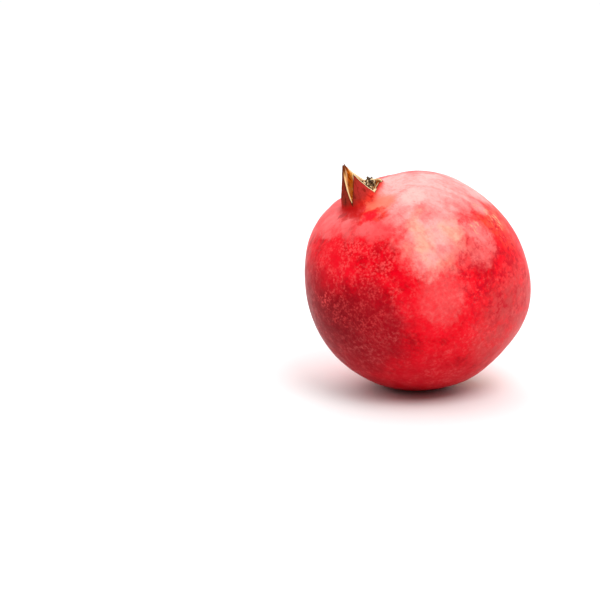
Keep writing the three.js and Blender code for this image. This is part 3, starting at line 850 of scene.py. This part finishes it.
def skinInputs(shader):
    # attributes, noises, the sides of the crown, and directions from the fruit's centre, shaken
    # so that no patch has an even outline
    look = {name: read(shader, name) for name in ("crown", "inner", "edgeDepth", "climb")}
    look["upright"] = read(shader, "upright", "Vector")
    for name, (settings, *levels) in skin["noises"].items():
        value = noise(look["upright"], *settings)
        look[name] = span(value, *levels) if levels else value
    look["ring"] = vectorMath("NORMALIZE", stretch(look["upright"], 0))
    for name, step in skin["sides"].items():
        look[name] = facing(look["ring"], *step)
    place = shader.id_data.nodes.new("ShaderNodeTexCoord").outputs["Object"]
    centred = vectorMath("SUBTRACT", place, tuple(layShift))
    shake = noise(look["upright"], *skin["shake"], output="Color")
    shake = vectorMath("SUBTRACT", shake, (0.5, 0.5, 0.5))
    for name in ("far", "near"):
        shaken = vectorMath("MULTIPLY_ADD", shake, (skin[name],) * 3, centred)
        look[name] = vectorMath("NORMALIZE", shaken)
    return look


def level(value, name):
    # a smooth step between the levels of that name
    return span(value, *skin["levels"][name])


def spots(look, kind):
    # for each patch of a kind, how much of it shows
    reach, gaps, places = skin["patches"][kind]
    shares = [facing(look[reach], *place[:3], 0, place[3]) for place in places]
    return [times(share, look[gaps]) for share in shares] if gaps else shares


def paint(look, colour, *kinds):
    # patches of each kind over colour, in the colour of that name
    for kind in kinds:
        for share in spots(look, kind):
            colour = blend(share, colour, skin[kind])
    return colour


def bodyColour(look):
    # crimson, red and bright red mottled, with painted shade low down and on the lower left; salmon
    # beside the crown, partly painted sheen; orange on the right, and a painted dull floor
    # reflection below it
    stops = [(0.36, skin["crimson"]), (0.46, skin["red"]), (0.60, skin["bright"])]
    return paint(look, ramp(look["mottle"], stops), "castShade", "underShade", "salmonAndSheen", "dimFloorSheen", "orange")


def blushShare(look):
    # pale skin with faint streaks down from the crown, partly a painted highlight and sheen on the
    # front and top; where it thins out it breaks up into mottles, and small flecks of it lie on the
    # red skin too
    s = skin
    streaks = noise(look["ring"], *s["streaks"])
    patchy = timesPlus(streaks, s["streaky"], times(look["clouds"], s["cloudy"]))
    patchy = times(level(patchy, "patchy"), look["fine"])
    share = most(*spots(look, "middle"), *spots(look, "blushAndSheen"))
    thinner = [without(spot) for spot in spots(look, "thinner")]
    share = most(times(share, patchy, *thinner), *spots(look, "topHighlight"))
    share = timesPlus(times(share, without(share)), look["breakUp"], share)
    bare = without(spots(look, "freckle")[0], s["fewerFlecks"])
    flecks = times(calc("POWER", look["flecks"], s["fleckFall"]), look["fleckDrift"], bare)
    return timesPlus(flecks, s["fleckShare"], share)


def paintBlush(look, colour, share):
    # rose where the blush is thin, then pink, or warm pink in the middle, and the palest places
    # on the front and top these pale colours hold a painted highlight and sheen as well as real
    # pale skin
    s = skin
    warm = times(look["warmth"], *spots(look, "middle"))
    rosy = calc("MINIMUM", times(share, s["rosy"]), 1.0)
    colour = blend(rosy, colour, s["rose"])
    colour = blend(share, colour, blend(warm, s["blushAndSheen"], s["blushWarm"]))
    return paint(look, colour, "paleAndHighlight", "stemEnd")


def paintMarks(look, colour, blushAndSheen):
    # wear: faint darker flecks, gathered in a short dash above the pale middle
    s = skin
    wear = times(look["wear"], s["wearShare"])
    colour = blend(most(wear, *spots(look, "dash")), colour, s["worn"])
    # freckles: round pale dots, gathered on the left in drifts
    cells = put("TexVoronoi", {"Vector": look["upright"], "Scale": s["dotScale"]})
    dots = calc("POWER", level(cells.outputs["Distance"], "dots"), s["dotFall"])
    dots = most(dots, calc("POWER", look["grit"], s["gritFall"]))
    gather = calc("ADD", most(*spots(look, "freckle")), s["strayFreckles"])
    # fewer freckles under the painted shade on the lower left
    fewer = without(spots(look, "castShade")[1], s["fewerFreckles"])
    dots = times(dots, look["drift"], gather, fewer, s["freckleShare"])
    colour = blend(dots, colour, s["freckle"])
    # specks: dark ragged marks, gathered on the right; scars: thin and cream
    gather = calc("ADD", most(*spots(look, "speck")), s["straySpecks"])
    specks = times(look["specks"], look["cluster"], gather, without(blushAndSheen, s["fewerSpecks"]))
    colour = blend(times(specks, s["speckShare"]), colour, s["speck"])
    return paint(look, colour, "scar")


def paintNeck(look, colour):
    # round the neck: red skin, deeper in blotches and as painted shade on the shade side, faint on
    # the plain side
    s = skin
    skirt = facing(look["near"], tuple(layTurn[:, 2]), *s["levels"]["skirt"])
    skirt = times(skirt, timesPlus(look["plain"], *s["plainFade"]))
    rise = timesPlus(look["plain"], s["plainDrop"], look["climb"])
    skirt = most(skirt, level(rise, "neck"), *spots(look, "skirt"))
    red = blend(most(look["blotch"], look["shadeSide"]), s["neckRed"], s["neckDeep"])
    colour = blend(skirt, paint(look, colour, "halo"), red)
    # last, painted shade at the neck's foot on the left
    return paint(look, colour, "glow", "bright", "neckDeep", "neckFootShade")


def paintOuter(look, colour):
    # sepals outside: brick red with brown fibres, darker on the shade side as painted shade,
    # browner to the tips, dark at the edge, with a cream rim on the light side
    s = skin
    climb, edgeDepth, shadeSide = look["climb"], look["edgeDepth"], look["shadeSide"]
    face = blend(shadeSide, s["sepalRed"], s["sepalDark"])
    fibres = blend(shadeSide, s["fibreRed"], s["fibreDark"])
    outer = blend(look["fibres"], fibres, face)
    outer = blend(level(climb, "tipward"), outer, s["sepalTip"])
    start = level(timesPlus(look["ragged"], s["raggedFoot"], climb), "sepalStart")
    colour = blend(start, colour, outer)
    lined = timesPlus(look["light"], s["lightEdge"], edgeDepth)
    lined = timesPlus(look["plain"], s["plainEdge"], lined)
    colour = blend(level(lined, "edgeLine"), colour, s["edgeLine"])
    rim = times(level(edgeDepth, "paleEdge"), look["light"])
    return blend(rim, colour, s["cream"])


def paintInner(look, colour):
    # sepals inside and the cup: orange tan with golden streaks, a cream edge and a brown tip
    s = skin
    stops = [(0.34, s["innerDark"]), (0.47, s["innerTan"]), (0.66, s["innerGold"])]
    edge = times(level(look["edgeDepth"], "creamEdge"), level(look["climb"], "creamFade"))
    inside = blend(edge, ramp(look["gilt"], stops), s["cream"])
    inside = blend(level(look["climb"], "brownTip"), inside, s["sepalTip"])
    return blend(level(look["inner"], "inside"), colour, inside)


def skinMaterial():
    material, shader = newMaterial("pomegranateRind")
    s = skin
    look = skinInputs(shader)
    blushAndSheen = blushShare(look)
    colour = paintBlush(look, bodyColour(look), blushAndSheen)
    colour = paintNeck(look, paintMarks(look, colour, blushAndSheen))
    colour = paintInner(look, paintOuter(look, colour))
    # gloss: waxy on the body, dull and dry on the crown
    rough = calc("ADD", look["rubbed"], s["roughness"])
    rough = calc("ADD", rough, level(look["climb"], "dull"))
    shader.id_data.links.new(rough, shader.inputs["Roughness"])
    shader.inputs["IOR"].default_value = s["ior"]
    shader.inputs["Specular IOR Level"].default_value = s["shine"]
    # fine relief: pores and leathery dimples on the body, fibres on the crown
    height = timesPlus(look["pores"], s["poreHeight"], look["dimples"])
    fibres = times(look["grain"], s["fibreHeight"], look["crown"])
    dress(shader, colour, calc("ADD", height, fibres), *s["relief"])
    return material


dried = {
    "filament": (0.52, 0.32, 0.14), "filamentPale": (0.72, 0.52, 0.28), "root": (0.24, 0.12, 0.05),
    "anther": (0.055, 0.026, 0.008), "antherBrown": (0.22, 0.11, 0.035),
    "antherPale": (0.86, 0.68, 0.40),
    "mottle": (1900, 3, 0.6), "roughness": 0.72, "relief": (0.5, 0.00012),
    # steps: by shade, which threads and anthers are pale; by rise, where the root's brown ends;
    # by mottle, the brown of anthers; by part, where anthers start
    "paleThreads": (0.2, 0.7), "paleAnthers": (0.68, 0.76), "rootEnd": (0.5, 0),
    "brownMottle": (0.45, 0.7), "antherStart": (0.6, 0.9),
}


def stamenMaterial():
    # threads from tan to pale, brown at the root; anthers dark brown, a few of them pale
    material, shader = newMaterial("driedStamen")
    s = dried
    part, shade, rise = (read(shader, name) for name in ("part", "shade", "rise"))
    mottle = noise(read(shader, "upright", "Vector"), *s["mottle"])
    thread = blend(span(shade, *s["paleThreads"]), s["filament"], s["filamentPale"])
    thread = blend(span(rise, *s["rootEnd"]), thread, s["root"])
    tip = blend(span(mottle, *s["brownMottle"]), s["anther"], s["antherBrown"])
    tip = blend(span(shade, *s["paleAnthers"]), tip, s["antherPale"])
    colour = blend(span(part, *s["antherStart"]), thread, tip)
    shader.inputs["Roughness"].default_value = s["roughness"]
    dress(shader, colour, mottle, *s["relief"])
    return material


wood = {
    "bark": (0.16, 0.085, 0.042), "barkPale": (0.40, 0.26, 0.14), "heart": (0.52, 0.36, 0.19),
    "pith": (0.28, 0.16, 0.08), "grain": (1300, 4, 0.6, 0, 0.2), "ringSpacing": 9000,
    "ringStep": (-0.6, 1), "roughness": 0.8, "relief": (0.6, 0.0002),
}


def stemMaterial():
    # streaky bark, and rings sin(spacing x distance from the axis) on the cut end
    material, shader = newMaterial("stemWood")
    s = wood
    upright = read(shader, "upright", "Vector")
    grain = noise(upright, *s["grain"])
    bark = ramp(grain, [(0.35, s["bark"]), (0.65, s["barkPale"])])
    away = put("VectorMath", {0: stretch(upright, 0)}, operation="LENGTH").outputs["Value"]
    rings = calc("SINE", times(away, s["ringSpacing"]))
    face = blend(span(rings, *s["ringStep"]), s["heart"], s["pith"])
    shader.inputs["Roughness"].default_value = s["roughness"]
    dress(shader, blend(read(shader, "cut"), bark, face), grain, *s["relief"])
    return material


studio = {
    "floorSize": 60.0, "floorColour": (0.86, 0.86, 0.86), "floorRoughness": 0.9,
    # the surround, bright above and behind: direction, the cosines of its step, and strengths
    "surround": ((0.0, 0.45, 0.89), 0.0, 0.75, 0.1, 1.5),
    # softboxes: direction from the fruit, distance, width, height, watts
    "key": ((0.26, -0.49, 0.84), 1.0, 0.56, 0.52, 5.0),
    "back": ((-0.14, 0.8, 0.58), 1.3, 1.0, 0.6, 3.0),
}


def makeFloor():
    # a square floor of four corners at z = 0
    half = studio["floorSize"] / 2
    mesh = bpy.data.meshes.new("floor")
    mesh.from_pydata([(-half, -half, 0), (half, -half, 0), (half, half, 0), (-half, half, 0)], [],
                     [(0, 1, 2, 3)])
    material, shader = newMaterial("paleFloor")
    shader.inputs["Base Color"].default_value = (*studio["floorColour"], 1)
    shader.inputs["Roughness"].default_value = studio["floorRoughness"]
    mesh.materials.append(material)
    floor = addObject("floor", mesh)


def makeSoftbox(name):
    # an area light of the given size, set in its direction from the fruit and facing it
    toward, distance, width, height, watts = studio[name]
    data = bpy.data.lights.new(name + "Softbox", "AREA")
    data.shape = "RECTANGLE"
    data.size, data.size_y, data.energy = width, height, watts
    light = addObject(name + "Softbox", data)
    away = Vector(toward).normalized()
    light.location = Vector(layShift) + distance * away
    light.rotation_mode = "QUATERNION"
    light.rotation_quaternion = away.to_track_quat("Z", "Y")


def makeWorld():
    # a white surround whose brightness follows the direction it is seen in
    world = bpy.data.worlds.new("studioWhite")
    world.use_nodes = True
    tree = world.node_tree
    background = tree.nodes["Background"]
    toward = tree.nodes.new("ShaderNodeTexCoord").outputs["Generated"]
    strength = facing(toward, *studio["surround"])
    tree.links.new(strength, background.inputs["Strength"])
    background.inputs["Color"].default_value = (1, 1, 1, 1)
    scene.world = world


camera = {
    # elevation in degrees, distance in metres, width of the render in pixels, and of the sensor
    "elevation": 14.0, "distance": 0.90, "renderWidth": 600, "sensor": 36.0,
    # where the fruit's centre falls, in pixels from the render's top left, and the scale
    "centreX": 417.2, "centreY": 279.1, "pixelsPerMetre": 2337,
}


def makeCamera():
    # looks along +Y and down by its elevation, set off so that the fruit's centre falls at
    # (centreX, centreY)
    c = camera
    tilt, scale, half = math.radians(c["elevation"]), c["pixelsPerMetre"], c["renderWidth"] / 2
    back = np.array([0, -math.cos(tilt), math.sin(tilt)])
    up = np.array([0, math.sin(tilt), math.cos(tilt)])
    data = bpy.data.cameras.new("camera")
    data.sensor_width = c["sensor"]
    data.lens = c["sensor"] * scale * c["distance"] / c["renderWidth"]
    data.dof.use_dof = False
    view = addObject("camera", data)
    right = np.array([1, 0, 0])
    view.location = (layShift + c["distance"] * back - (c["centreX"] - half) / scale * right
                     - (half - c["centreY"]) / scale * up)
    view.rotation_euler = (math.pi / 2 - tilt, 0, 0)
    scene.camera = view


makeCamera()
makeFloor()
makeWorld()
makeSoftbox("key")
makeSoftbox("back")
scene.view_settings.view_transform = "Standard"
scene.view_settings.look = "None"
print("studio ready")

makeFruit(skinMaterial())
makeStamens(stamenMaterial())
makeStem(stemMaterial())
print("pieces ready")
